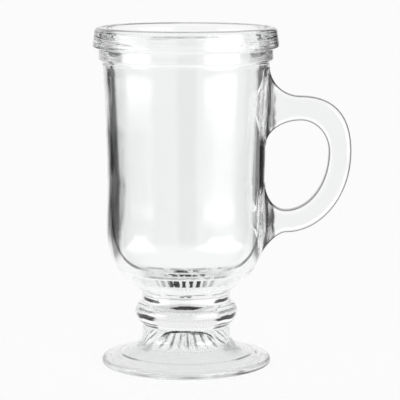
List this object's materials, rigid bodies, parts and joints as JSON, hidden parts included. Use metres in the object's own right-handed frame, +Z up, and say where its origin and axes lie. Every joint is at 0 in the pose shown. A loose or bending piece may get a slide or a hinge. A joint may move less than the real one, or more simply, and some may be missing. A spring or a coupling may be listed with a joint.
{
  "type": "irish coffee glass",
  "caption": "Clear pressed glass mug for hot drinks, with a banded rim, a tall bowl, a loop handle, a short knopped stem and a spreading foot with a fluted hollow underneath.",
  "frame": {"origin": "on the table plane, at the middle of the rectangle that the glass and its handle take up there; the axis of the bowl, stem and foot stands at x = -14.85 mm, y = 0", "axes": "+Z up along the glass's axis, +X from the axis towards the handle, +Y to the left of the handle as seen from outside it"},
  "size_m": [0.1058, 0.0762, 0.1396],
  "materials": {
    "clear_glass": "fire-polished clear soda glass, smooth and glossy, with the soft waviness of pressed ware"
  },
  "bodies": {
    "root": {"foot": "clear_glass", "stem": "clear_glass", "bowl": "clear_glass", "handle": "clear_glass"}
  },
  "joints": []
}
